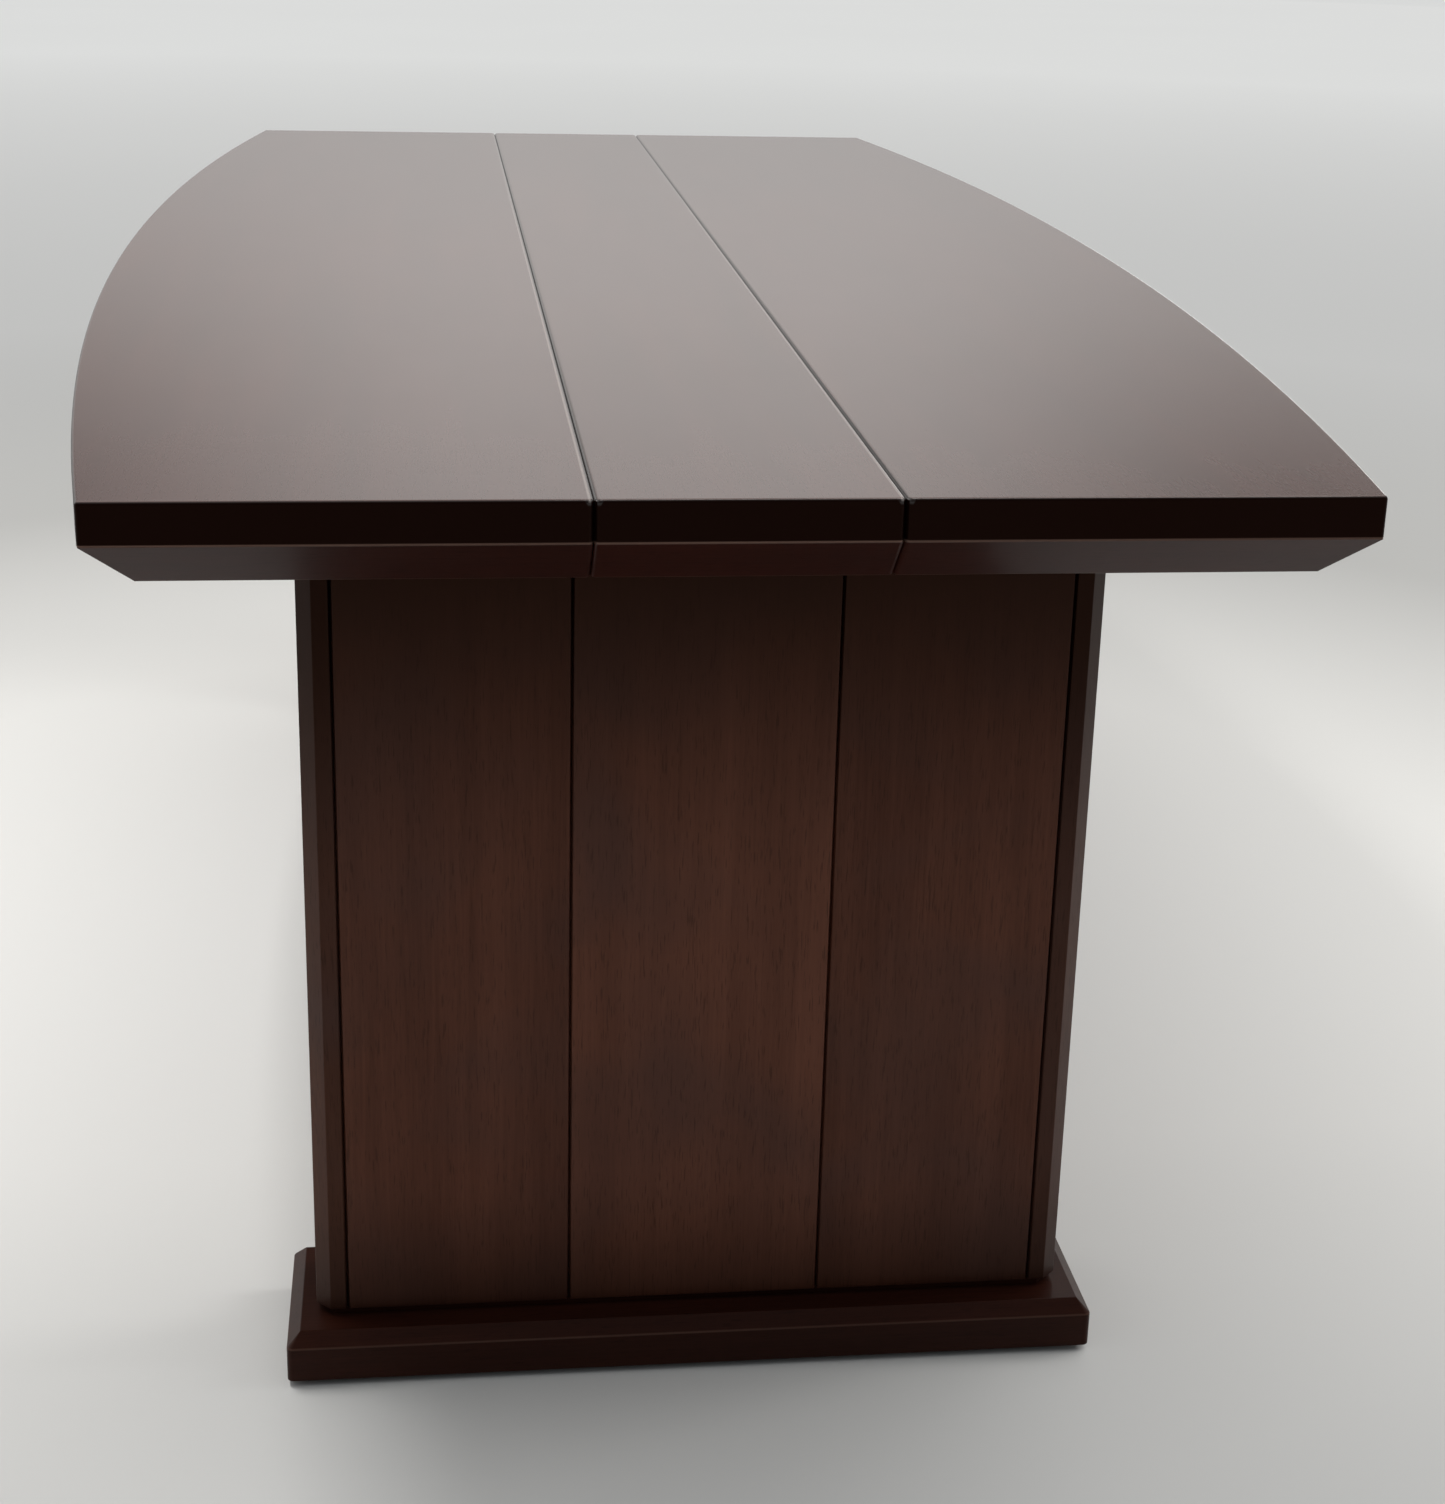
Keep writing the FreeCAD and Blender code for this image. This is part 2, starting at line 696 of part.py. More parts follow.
for end_name, side in leg_ends.items():
    leg = "leg_" + end_name
    along = f"{side} * {leg_centre}"

    for name, turn in (("left", -1), ("right", 1)):
        outline = shifted(turned(stile_outline(), turn), along)
        slab(f"{leg}_stile_{name}", outline, leg_bottom, leg_top)

    for face_name, turn in (("outer", -side), ("inner", side)):
        for name, column in (("left", -1), ("centre", 0), ("right", 1)):
            outline = shifted(turned(facing_outline(turn * column), turn), along)
            facing = slab(f"{leg}_{face_name}_board_{name}", outline, leg_bottom, leg_top)
            if face_name == "inner" and column == 0:
                drill_bolt_holes(facing, side)

    screw_top = f"({leg_top} - screw_bite)"
    rail = core_rail(f"{leg}_top_rail", along, f"({leg_top} - top_rail_height)", leg_top)
    rail_screws = [(across, along) for across in rail_screw_line]
    drill(rail, "XY_Plane", screw_top, rail_screws, "screw_radius", "screw_bite")
    drill_bolt_holes(rail, side)

    rail_top = f"({leg_bottom} + bottom_rail_height)"
    rail = core_rail(f"{leg}_bottom_rail", along, leg_bottom, rail_top)
    screw_places = [(across, along) for across in plinth_screw_line]
    drill(rail, "XY_Plane", leg_bottom, screw_places, "plinth_screw_radius", "plinth_screw_bite")

    plate_outline = block(
        "(-plate_width / 2)",
        "(plate_width / 2)",
        "(-plate_depth / 2)",
        "(plate_depth / 2)",
    )
    plate = slab(f"{leg}_top_plate", shifted(plate_outline, along), leg_top, board_under)
    up_screws = []
    for column in (-1, 0, 1):
        up_screws += plate_screw_places(column, side)
    all_screws = up_screws + rail_screws
    drill(plate, "XY_Plane", leg_top, all_screws, "screw_radius", "plate_thickness")
    reach = size("leg_depth / 2")
    middle = size(along)
    sunk_above = round_edge_at(
        size(board_under), size("screw_radius"), lambda centre: abs(centre.y - middle) < reach
    )
    sunk_below = round_edge_at(
        size(leg_top), size("screw_radius"), lambda centre: abs(centre.y - middle) > reach
    )
    chamfer(
        plate,
        "(screw_head_radius - screw_radius)",
        lambda edge: sunk_above(edge) or sunk_below(edge),
    )
    short_screw = countersunk_screw("(plate_thickness + screw_bite)")
    up_places = [place + (leg_top,) for place in up_screws]
    down_places = [place + (board_under,) for place in rail_screws]
    up_solids = copies(short_screw, up_places)
    down_solids = copies(short_screw, down_places, (0, 0, -1))
    group(f"{leg}_top_plate_screws", up_solids + down_solids)

    neck = slab(f"{leg}_neck", shifted(neck_outline(), along), plinth_top, leg_bottom)
    drill(neck, "XY_Plane", plinth_top, screw_places, "plinth_screw_radius", "neck_height")

    plinth_outline = block(
        "(-plinth_width / 2)",
        "(plinth_width / 2)",
        "(-plinth_depth / 2)",
        "(plinth_depth / 2)",
    )
    plinth = slab(f"plinth_{end_name}", shifted(plinth_outline, along), "foot_gap", plinth_top)
    chamfer(plinth, "plinth_chamfer", at_level(plinth_top))
    foot_places = {
        f"{way_name}_{line_name}": (
            f"{way} * foot_spacing_across / 2",
            f"{along} + {side * line} * foot_spacing_along / 2",
        )
        for way_name, way in (("left", -1), ("right", 1))
        for line_name, line in (("inner", -1), ("outer", 1))
    }
    places = list(foot_places.values())
    drill(plinth, "XY_Plane", "foot_gap", places, "insert_radius", "foot_hole_depth")
    drill(
        plinth,
        "XY_Plane",
        "foot_gap",
        screw_places,
        "plinth_screw_head_radius",
        "plinth_screw_recess",
    )
    drill(
        plinth,
        "XY_Plane",
        plinth_screw_level,
        screw_places,
        "plinth_screw_radius",
        f"({plinth_top} - {plinth_screw_level})",
    )
    plinth_screw = round_solid(
        [
            ("0", "(-plinth_screw_head_height)"),
            ("plinth_screw_head_radius", "(-plinth_screw_head_height)"),
            ("plinth_screw_head_radius", "0"),
            ("plinth_screw_radius", "0"),
            ("plinth_screw_radius", plinth_screw_length),
            ("0", plinth_screw_length),
        ]
    )
    head_places = [place + (plinth_screw_level,) for place in screw_places]
    group(f"plinth_{end_name}_screws", copies(plinth_screw, head_places))

    sleeve = Part.makeCylinder(size("insert_radius"), size("insert_length"))
    sleeve = sleeve.cut(Part.makeCylinder(size("insert_bore"), size("insert_length")))
    insert_places = [place + ("foot_gap",) for place in places]
    group(f"plinth_{end_name}_foot_inserts", copies(sleeve, insert_places))
    for name, (across, line) in foot_places.items():
        levelling_foot(f"foot_{end_name}_{name}", across, line)

# ---- Test every object, then write each piece ----

doc.recompute()
for item in doc.Objects:
    if "Invalid" in item.State or "Error" in item.State:
        raise RuntimeError(item.Label + " failed to build")
for part in parts:
    if part.Shape.isNull() or not part.Shape.isValid():
        raise RuntimeError(part.Label + " has no valid shape")
for part in parts:
    part.Shape.exportStep(f"parts/{part.Label}.step")
print(len(parts), "pieces written")
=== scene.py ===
import json
import math

import bpy
import numpy as np
from mathutils import Matrix, Vector


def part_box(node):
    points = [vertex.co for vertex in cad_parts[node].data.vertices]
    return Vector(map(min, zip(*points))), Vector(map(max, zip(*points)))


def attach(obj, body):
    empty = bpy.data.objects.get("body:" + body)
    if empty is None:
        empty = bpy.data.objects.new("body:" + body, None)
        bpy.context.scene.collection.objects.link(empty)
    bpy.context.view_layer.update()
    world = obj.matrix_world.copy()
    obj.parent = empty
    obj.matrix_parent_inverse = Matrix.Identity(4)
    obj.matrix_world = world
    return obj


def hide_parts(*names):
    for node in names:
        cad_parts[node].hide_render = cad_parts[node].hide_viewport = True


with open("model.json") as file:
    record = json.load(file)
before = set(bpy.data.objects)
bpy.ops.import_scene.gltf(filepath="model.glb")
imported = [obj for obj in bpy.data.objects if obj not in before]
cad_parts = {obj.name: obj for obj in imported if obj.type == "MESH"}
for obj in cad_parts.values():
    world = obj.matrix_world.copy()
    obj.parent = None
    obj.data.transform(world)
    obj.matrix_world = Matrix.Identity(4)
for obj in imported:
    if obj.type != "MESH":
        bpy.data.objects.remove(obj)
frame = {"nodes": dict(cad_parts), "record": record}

scene = bpy.context.scene
nodes = frame["nodes"]
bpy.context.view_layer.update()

# Boxes of the pieces that the others are laid out from.
rightLow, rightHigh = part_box("top_board_right")
stripLow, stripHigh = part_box("edge_strip_near_centre")
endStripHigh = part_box("edge_strip_near_right")[1]
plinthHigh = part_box("plinth_near")[1]


class Wire:
    # A socket that can stand in a sum: wire * 2, 1 - wire and the like add their own Math nodes.
    def __init__(self, graph, socket):
        self.graph = graph
        self.socket = socket

    def math(self, operation, *values):
        return self.graph.node("ShaderNodeMath", {"operation": operation}, dict(enumerate(values)))

    def __add__(self, other):
        return self.math("ADD", self, other)

    def __radd__(self, other):
        return self.math("ADD", other, self)

    def __sub__(self, other):
        return self.math("SUBTRACT", self, other)

    def __rsub__(self, other):
        return self.math("SUBTRACT", other, self)

    def __mul__(self, other):
        return self.math("MULTIPLY", self, other)

    def __rmul__(self, other):
        return self.math("MULTIPLY", other, self)

    def __truediv__(self, other):
        return self.math("DIVIDE", self, other)

    def __rtruediv__(self, other):
        return self.math("DIVIDE", other, self)

    def __abs__(self):
        return self.math("ABSOLUTE", self)


class Finish:
    # The nodes of one material, or of the world.
    def __init__(self, owner):
        self.owner = owner
        owner.use_nodes = True
        self.tree = owner.node_tree
        self.tree.nodes.clear()

    # Any node: its type, its settings (set first), its inputs by name or number, and the output.
    def node(self, kind, settings=None, inputs=None, output=0):
        made = self.tree.nodes.new(kind)
        for name, value in (settings or {}).items():
            if name == "stops":
                ramp = made.color_ramp
                while len(ramp.elements) < len(value):
                    ramp.elements.new(1.0)
                for element, (position, colour) in zip(ramp.elements, value):
                    element.position = position
                    element.color = (*colour, 1.0)
            else:
                setattr(made, name, value)
        for name, value in (inputs or {}).items():
            if isinstance(value, Wire):
                self.tree.links.new(value.socket, made.inputs[name])
            else:
                made.inputs[name].default_value = value
        return Wire(self, made.outputs[output])

    # Colours blended: a where the factor is 0, b where it is 1.
    def blend(self, factor, a, b):
        return self.node("ShaderNodeMix", {"data_type": "RGBA"}, {0: factor, 6: a, 7: b}, 2)

    # A straight-line remap of a value from one range to another, held at the ends.
    def remap(self, value, low, high, newLow=0.0, newHigh=1.0, smooth=False):
        settings = {"interpolation_type": "SMOOTHSTEP" if smooth else "LINEAR"}
        limits = {0: value, 1: low, 2: high, 3: newLow, 4: newHigh}
        return self.node("ShaderNodeMapRange", settings, limits)

    def noise(self, place, scale, detail=2.0, roughness=0.5, distortion=0.0, w=None):
        inputs = {"Vector": place, "Scale": scale, "Detail": detail}
        inputs |= {"Roughness": roughness, "Distortion": distortion}
        settings = {"noise_dimensions": "3D" if w is None else "4D"}
        if w is not None:
            inputs["W"] = w
        return self.node("ShaderNodeTexNoise", settings, inputs)

    # Object coordinates stretched by a factor along each axis.
    def coordinates(self, stretch=(1, 1, 1)):
        place = self.node("ShaderNodeTexCoord", None, None, "Object")
        return self.node("ShaderNodeMapping", None, {"Vector": place, "Scale": stretch})

    # The x, y and z of a vector.
    def apart(self, vector):
        split = self.node("ShaderNodeSeparateXYZ", None, {0: vector})
        return [Wire(self, output) for output in split.socket.node.outputs]

    def finish(self, surface, kind="ShaderNodeOutputMaterial"):
        output = self.tree.nodes.new(kind)
        self.tree.links.new(surface.socket, output.inputs["Surface"])
        return self.owner


# The grain that all the veneers share: how many times each pattern repeats in a metre, across the
# fibres and along them, and its weight in the colour. The "apart" values keep the boards unlike.
grain = {
    "figure": (24, 1.6), "figureWeight": 0.45, "figureApart": 7.3,
    "fibres": (430, 11), "fibresWeight": 0.30, "fibresApart": 3.1,
    "pores": (950, 75), "poresApart": 5.7, "poreColour": (0.006, 0.002, 0.0015), "poreRoughness": 0.05,
    "cloudWeight": 0.25, "cloudApart": 11.9, "castScale": 1.7, "castApart": 4.3,
    "smearScale": 17.0, "peelScale": 260, "fibreRelief": 0.35, "poreRelief": 0.35,
    "reliefDepth": 0.0004, "coatIndex": 1.5,
}


# Lacquered veneer. The grain is noise squeezed across the fibres: slow figure, fine fibres and pores.
# "board" is a value stored on each piece, so that no two boards carry the same figure.
def veneer(name, look):
    g = Finish(bpy.data.materials.new(name))
    board = g.node("ShaderNodeAttribute", {"attribute_name": "board"}, None, "Fac")
    here = g.coordinates()
    side, height = g.apart(here)[::2]

    def stretched(across, along):
        return g.coordinates(tuple(along if axis == look["grain"] else across for axis in "xyz"))

    figure = g.noise(stretched(*grain["figure"]), 1.0, 3, 0.55, 0.5, board * grain["figureApart"])
    fibres = g.noise(stretched(*grain["fibres"]), 1.0, 3, 0.65, 0.2, board * grain["fibresApart"])
    pores = g.noise(stretched(*grain["pores"]), 1.0, 1, 0.5, 0.0, board * grain["poresApart"])
    cloud = g.noise(here, look["cloudScale"], 2, 0.5, 0.3, board * grain["cloudApart"])
    smear = g.noise(here, grain["smearScale"], 3, 0.6, 0.8)
    castScale = look["cloudScale"] * grain["castScale"]
    castNoise = g.noise(here, castScale, 2, 0.5, 0.4, board * grain["castApart"] + 9)

    tone = g.remap(figure, 0.32, 0.68) * grain["figureWeight"]
    tone = tone + g.remap(fibres, 0.3, 0.7) * grain["fibresWeight"]
    tone = tone + g.remap(cloud, 0.3, 0.7) * grain["cloudWeight"]
    if "variety" in look:
        # a middle board is a little paler than the ones beside it
        tone = tone + board.math("SINE", board * 6.5 - 1.1) * look["variety"]
    colour = g.blend(tone, (*look["dark"], 1), (*look["light"], 1))
    colour = g.blend(g.remap(castNoise, 0.42, 0.68) * look["tint"], colour, (*look["cast"], 1))
    poreMask = g.remap(pores, 0.58, 0.70)
    colour = g.blend(poreMask * look["pores"], colour, (*grain["poreColour"], 1))
    coat = look["coat"]
    for low, high, strength in look["toner"]:
        # painted shade, from none at the first height to full at the second, and duller than the lacquer
        # there: on the legs it darkens them under the top's overhang and down by the plinth
        paintedShade = g.remap(height, low, high, 0.0, strength, True)
        colour = g.blend(paintedShade, colour, (*look["shade"], 1))
        coat = coat * (1 - paintedShade)
    if "edge" in look:
        # the upright edge is darker, up into its top arris, and is duller, but not at the joints
        fromJoint = abs(abs(side) - look["joint"])
        beside = g.remap(fromJoint, *look["jointWidth"], look["edgeGloss"][0] - look["jointGloss"], 0.0)
        colour = g.blend(g.remap(height, *look["edgeDarkSpan"], 1.0, 0.0), colour, (*look["edge"], 1))
        coat = look["coat"] * g.remap(height + beside, *look["edgeGloss"])
        # painted highlight: a pale line along the left-hand arris of each joint
        offset = side - side.math("SIGN", side) * look["joint"]
        jointHighlight = g.remap(abs(offset + look["jointHighlightAt"]), *look["jointHighlightWidth"], look["jointHighlightStrength"], 0.0)
        colour = g.blend(jointHighlight * g.remap(height, *look["jointHighlightAbove"]), colour, (*look["jointHighlight"], 1))
    for middle, half, strength in look["rubbed"]:
        # painted highlight: a paler line along an arris at a known height
        highlight = g.remap(abs(height - middle), half * 0.4, half, strength, 0.0)
        colour = g.blend(highlight * g.remap(cloud, 0.2, 0.6, 0.5, 1.0), colour, (*look["highlightColour"], 1))
    rough = look["roughness"] + smear * look["smear"] + poreMask * grain["poreRoughness"]
    relief = fibres * grain["fibreRelief"] + pores * grain["poreRelief"]
    relief = relief + g.noise(here, grain["peelScale"], 1) * look["peel"]
    hollows = {"Height": relief, "Strength": look["bump"], "Distance": grain["reliefDepth"]}
    bump = g.node("ShaderNodeBump", None, hollows)
    shader = {
        "Base Color": colour,
        "Roughness": rough,
        "Normal": bump,
        "Specular IOR Level": look["specular"],
        "Specular Tint": (*look["tinted"], 1),
        "Coat Weight": coat,
        "Coat Roughness": look["coatRoughness"],
        "Coat IOR": grain["coatIndex"],
    }
    return g.finish(g.node("ShaderNodeBsdfPrincipled", None, shader))


# Bare timber of the hidden battens and rails: growth rings as waves across the grain.
def bareTimber(name, look):
    g = Finish(bpy.data.materials.new(name))
    place = g.coordinates(look["stretch"])
    rings = g.noise(place, 1.0, 4, 0.6, 1.2)
    fibres = g.noise(g.coordinates(look["fibreStretch"]), 1.0, 2)
    colour = g.blend(g.remap(rings, 0.35, 0.7), (*look["dark"], 1), (*look["light"], 1))
    colour = g.blend(fibres * look["fibreShade"], colour, (*look["dark"], 1))
    hollows = {"Height": fibres, "Strength": look["bump"], "Distance": look["reliefDepth"]}
    rough = look["roughness"] + fibres * look["fibreRoughness"]
    shader = {"Base Color": colour, "Roughness": rough, "Normal": g.node("ShaderNodeBump", None, hollows)}
    return g.finish(g.node("ShaderNodeBsdfPrincipled", None, shader))


metalGrain = {"cloudScale": 60.0, "roughness": 0.15, "reliefDepth": 0.0002}


# Metal with a fine blotchy plating or powder coat.
def metal(name, look):
    g = Finish(bpy.data.materials.new(name))
    grainy = g.noise(g.coordinates(), look["grainScale"], 3, 0.6)
    cloud = g.noise(g.coordinates(), metalGrain["cloudScale"], 2, 0.5)
    colour = g.blend(g.remap(cloud, 0.35, 0.65), (*look["dark"], 1), (*look["light"], 1))
    hollows = {"Height": grainy, "Strength": look["bump"], "Distance": metalGrain["reliefDepth"]}
    shader = {
        "Base Color": colour,
        "Metallic": look["metallic"],
        "Roughness": look["roughness"] + grainy * metalGrain["roughness"],
        "Normal": g.node("ShaderNodeBump", None, hollows),
    }
    return g.finish(g.node("ShaderNodeBsdfPrincipled", None, shader))


# Heights in these looks are measured from the pieces' own boxes, in metres.
tableTop = rightHigh.z
seam = stripHigh.z

topLook = {
    "grain": "y", "cloudScale": 2.2, "toner": [],
    "dark": (0.039, 0.0122, 0.0085), "light": (0.076, 0.0250, 0.0175),
    "cast": (0.053, 0.019, 0.0170), "tint": 0.4, "pores": 0.12,
    "edge": (0.0066, 0.0019, 0.0013), "edgeDarkSpan": (tableTop - 0.0007, tableTop - 0.0001),
    "edgeGloss": (tableTop - 0.0016, tableTop - 0.0001),
    "joint": rightLow.x, "jointWidth": (0.004, 0.006), "jointGloss": tableTop - 0.0045,
    # painted highlight on the left-hand arris of each joint
    "jointHighlight": (0.52, 0.47, 0.44), "jointHighlightStrength": 0.28, "jointHighlightAt": 0.0030, "jointHighlightWidth": (0.0004, 0.0012),
    "jointHighlightAbove": (tableTop - 0.0025, tableTop - 0.0015),
    # painted highlight along the seam arris
    "rubbed": [(seam + 0.0003, 0.0011, 0.8)], "highlightColour": (0.20, 0.120, 0.095),
    "roughness": 0.34, "smear": 0.06, "peel": 0.3, "bump": 0.001,
    "specular": 0.10, "tinted": (1.0, 0.5, 0.35), "coat": 1.0, "coatRoughness": 0.085,
}
bevelLook = {
    "grain": "x", "cloudScale": 3.0, "toner": [],
    "dark": (0.0142, 0.0029, 0.0017), "light": (0.040, 0.0080, 0.0048),
    "cast": (0.018, 0.0052, 0.0036), "tint": 0.4, "pores": 0.35,
    # painted highlights along the seam arris and, faintly, the bottom arris
    "rubbed": [(seam + 0.0001, 0.0009, 0.7), (stripLow.z, 0.0008, 0.2)], "highlightColour": (0.18, 0.110, 0.085),
    "roughness": 0.36, "smear": 0.08, "peel": 0.3, "bump": 0.04,
    "specular": 0.05, "tinted": (1.0, 0.5, 0.35), "coat": 0.34, "coatRoughness": 0.16,
}
legLook = {
    "grain": "z", "cloudScale": 4.2,
    "dark": (0.058, 0.0182, 0.0104), "light": (0.146, 0.054, 0.0330),
    "cast": (0.052, 0.028, 0.025), "tint": 0.55, "pores": 0.40, "variety": 0.19,
    # painted shade: darker under the top's overhang and down by the plinth
    "toner": [(0.40, 0.69, 1.0), (0.17, 0.03, 0.75)], "shade": (0.0062, 0.0014, 0.0008),
    "rubbed": [],
    "roughness": 0.40, "smear": 0.08, "peel": 0.3, "bump": 0.07,
    "specular": 0.25, "tinted": (1.0, 0.5, 0.33), "coat": 0.13, "coatRoughness": 0.22,
}
# The corner posts take a darker copy of the leg veneer, painted shade on their chamfered corners, and
# their painted shade under the top reaches lower.
paintedShadeStileLook = legLook | {
    "dark": (0.030, 0.0100, 0.0060), "light": (0.072, 0.028, 0.0170),
    "toner": [(0.34, 0.64, 1.0), (0.17, 0.03, 0.75)],
    "specular": 0.22, "coat": 0.10,
}
plinthLook = {
    "grain": "x", "cloudScale": 4.0, "toner": [],
    "dark": (0.0120, 0.0034, 0.0021), "light": (0.037, 0.0108, 0.0064),
    "cast": (0.018, 0.0062, 0.0046), "tint": 0.4, "pores": 0.4,
    # painted highlight along the lower arris of the chamfer
    "rubbed": [(plinthHigh.z - 0.0105, 0.0010, 0.5)], "highlightColour": (0.100, 0.055, 0.040),
    "roughness": 0.36, "smear": 0.08, "peel": 0.3, "bump": 0.05,
    "specular": 0.08, "tinted": (1.0, 0.5, 0.35), "coat": 0.12, "coatRoughness": 0.14,
}

topVeneer = veneer("dark-top-veneer", topLook)
bevelVeneer = veneer("dark-bevel-veneer", bevelLook)
legVeneer = veneer("brown-leg-veneer", legLook)
stileVeneer = veneer("shaded-stile-veneer", paintedShadeStileLook)
plinthVeneer = veneer("dark-plinth-veneer", plinthLook)
coreTimber = bareTimber("pale-core-timber", {
    "stretch": (3, 45, 45), "fibreStretch": (20, 500, 500), "fibreShade": 0.35,
    "dark": (0.30, 0.19, 0.10), "light": (0.52, 0.36, 0.21),
    "roughness": 0.5, "fibreRoughness": 0.25, "bump": 0.3, "reliefDepth": 0.0005,
})
blackPaint = metal("black-powder-coat", {
    "dark": (0.010, 0.010, 0.011), "light": (0.022, 0.022, 0.023),
    "metallic": 0.0, "roughness": 0.45, "bump": 0.4, "grainScale": 1800.0,
})
zincPlate = metal("zinc-plate", {
    "dark": (0.42, 0.42, 0.40), "light": (0.62, 0.61, 0.57),
    "metallic": 1.0, "roughness": 0.28, "bump": 0.2, "grainScale": 900.0,
})
dullSteel = metal("dull-steel", {
    "dark": (0.16, 0.16, 0.165), "light": (0.27, 0.27, 0.275),
    "metallic": 1.0, "roughness": 0.35, "bump": 0.25, "grainScale": 1200.0,
})
print("materials made")


# A convex outline with its corners rounded, then moved inwards, by the inset times each edge's own
# share. An arc keeps its centre while its radius shrinks, down to leastRadius:
# point = centre + radius (cos a, sin a), where a turns from one edge's normal to the next's.
leastRadius = 0.0002


def ringAt(corners, radius, inset, steps, shares=1.0):
    edges = np.roll(corners, -1, 0) - corners
    normals = np.stack([edges[:, 1], -edges[:, 0]], 1) / np.linalg.norm(edges, axis=1)[:, None]
    left = np.maximum(np.broadcast_to(radius, len(corners)) - inset, leastRadius)
    move = np.broadcast_to(shares, len(corners)) * inset
    reach = (normals * corners).sum(1) - move - left
    before = np.roll(normals, 1, 0)
    reachBefore = (before * corners).sum(1) - np.roll(move, 1) - left
    cross = before[:, 0] * normals[:, 1] - before[:, 1] * normals[:, 0]
    across = (reachBefore * normals[:, 1] - reach * before[:, 1]) / cross
    up = (before[:, 0] * reach - normals[:, 0] * reachBefore) / cross
    first = np.arctan2(before[:, 1], before[:, 0])
    turn = np.arctan2(cross, (before * normals).sum(1))
    count = np.where(turn > 0.1, steps, 1)          # a slight corner of a curved side stays one point
    owner = np.repeat(np.arange(len(corners)), count)
    place = np.arange(count.sum()) - np.repeat(np.cumsum(count) - count, count)
    share = np.where(count[owner] > 1, place / np.maximum(count[owner] - 1, 1), 0.5)
    angle = first[owner] + turn[owner] * share
    spread = left[owner][:, None] * np.stack([np.cos(angle), np.sin(angle)], 1)
    return np.stack([across[owner], up[owner]], 1) + spread


# A quarter-round end as (distance from the end, inset) pairs: distance = r (1 - sin a) and
# inset = r (1 - cos a), with a from 90 degrees to 0. No radius leaves the one pair.
def quarterRound(radius, steps):
    a = np.linspace(math.pi / 2, 0, steps if radius else 1)
    return np.stack([radius * (1 - np.sin(a)), radius * (1 - np.cos(a))], 1)


# Stations along a piece, each a (place, inset) pair, with a quarter-round at each end.
def roundedEnds(low, high, lowRadius, highRadius, steps=4):
    start = quarterRound(lowRadius, steps) + (low, 0)
    end = quarterRound(highRadius, steps) * (-1, 1) + (high, 0)
    return np.concatenate([start, end[::-1]])


# A closed skin from rings of points, an array of (rings, points, 3), with a flat face on each end.
def skin(name, rings, material, board=0.0):
    count, around = rings.shape[:2]
    index = np.arange(count * around).reshape(count, around)
    after = np.roll(index, -1, 1)
    quads = np.stack([index[:-1], after[:-1], after[1:], index[1:]], -1).reshape(-1, 4)
    faces = quads.tolist() + [index[0, ::-1].tolist(), index[-1].tolist()]
    mesh = bpy.data.meshes.new(name)
    mesh.from_pydata(rings.reshape(-1, 3).tolist(), [], faces)
    mesh.validate()
    mesh.shade_smooth()
    mesh.set_sharp_from_angle(angle=math.radians(35))
    mark = mesh.attributes.new("board", "FLOAT", "POINT")
    mark.data.foreach_set("value", np.full(count * around, board, np.float32))
    mesh.materials.append(material)
    piece = bpy.data.objects.new(name, mesh)
    scene.collection.objects.link(piece)
    weights = piece.modifiers.new("flat faces stay flat", "WEIGHTED_NORMAL")
    weights.keep_sharp = True
    return piece


# The outline carried along an axis through the stations. The axes are named in right-handed order:
# "xyz" carries an outline in x and y along z, and "yzx" one in y and z along x.
def carried(corners, radius, stations, axes="xyz", steps=5, shares=1.0):
    corners = np.asarray(corners, float)
    flat = np.stack([ringAt(corners, radius, inset, steps, shares) for inset in stations[:, 1]])
    along = np.broadcast_to(stations[:, 0][:, None], flat.shape[:2])
    parts = dict(zip(axes, (flat[..., 0], flat[..., 1], along)))
    return np.stack([parts["x"], parts["y"], parts["z"]], -1)


def settle(piece, node, body="table"):
    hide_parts(node)
    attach(piece, body)


topBoards = {
    "arris": 0.0026,
    "jointSpread": 1.35,      # a joint's arris is that much wider than it is deep
    "cornerRadius": 0.0028,
    "grooveHalf": 0.0019,
    "grooveDepth": 0.0050,
    "arcPoints": 49,
}

# The upright edge turns into the bevel below it round an arc of this radius, and the seam between
# board and strip lies part of the way along it.
bevel = {
    "arris": 0.0025,
    "inset": 0.035,
}
bevelTurn = math.atan2(bevel["inset"], stripHigh.z - stripLow.z)
seamTurn = math.asin(math.tan(bevelTurn / 2))


# Points of that arc from one angle to another: distance in from the edge, and height.
def lowerArc(start, stop, steps):
    a = np.linspace(start, stop, steps)
    radius = bevel["arris"]
    top = stripHigh.z + radius * math.tan(bevelTurn / 2)
    return np.stack([radius * (1 - np.cos(a)), top - radius * np.sin(a)], 1)


halfLength = rightHigh.y
halfMiddle = rightHigh.x
halfEnd = endStripHigh.x
sagitta = halfMiddle - halfEnd
sideRadius = (halfLength ** 2 + sagitta ** 2) / (2 * sagitta)
sideCentre = halfMiddle - sideRadius
sideSwing = math.asin(halfLength / sideRadius)


# A joint edge runs between two half-grooves, cut into the upright ends. It comes last, so that its
# share of the inset can be set: points (joint, L - deep), (joint, deep - L), (joint + half, -L).
def jointEdge(x, way):
    half, deep = topBoards["grooveHalf"], topBoards["grooveDepth"]
    points = np.array([
        (x + half, halfLength), (x, halfLength - deep),
        (x, deep - halfLength), (x + half, -halfLength),
    ])
    return points * way


# The bowed side: x = centre + radius cos a, y = radius sin a.
def sideBoardOutline(turn):
    swing = np.linspace(-sideSwing, sideSwing, topBoards["arcPoints"])
    bow = np.stack([sideCentre + sideRadius * np.cos(swing), sideRadius * np.sin(swing)], 1)
    return np.concatenate([bow * turn, jointEdge(rightLow.x, turn)])


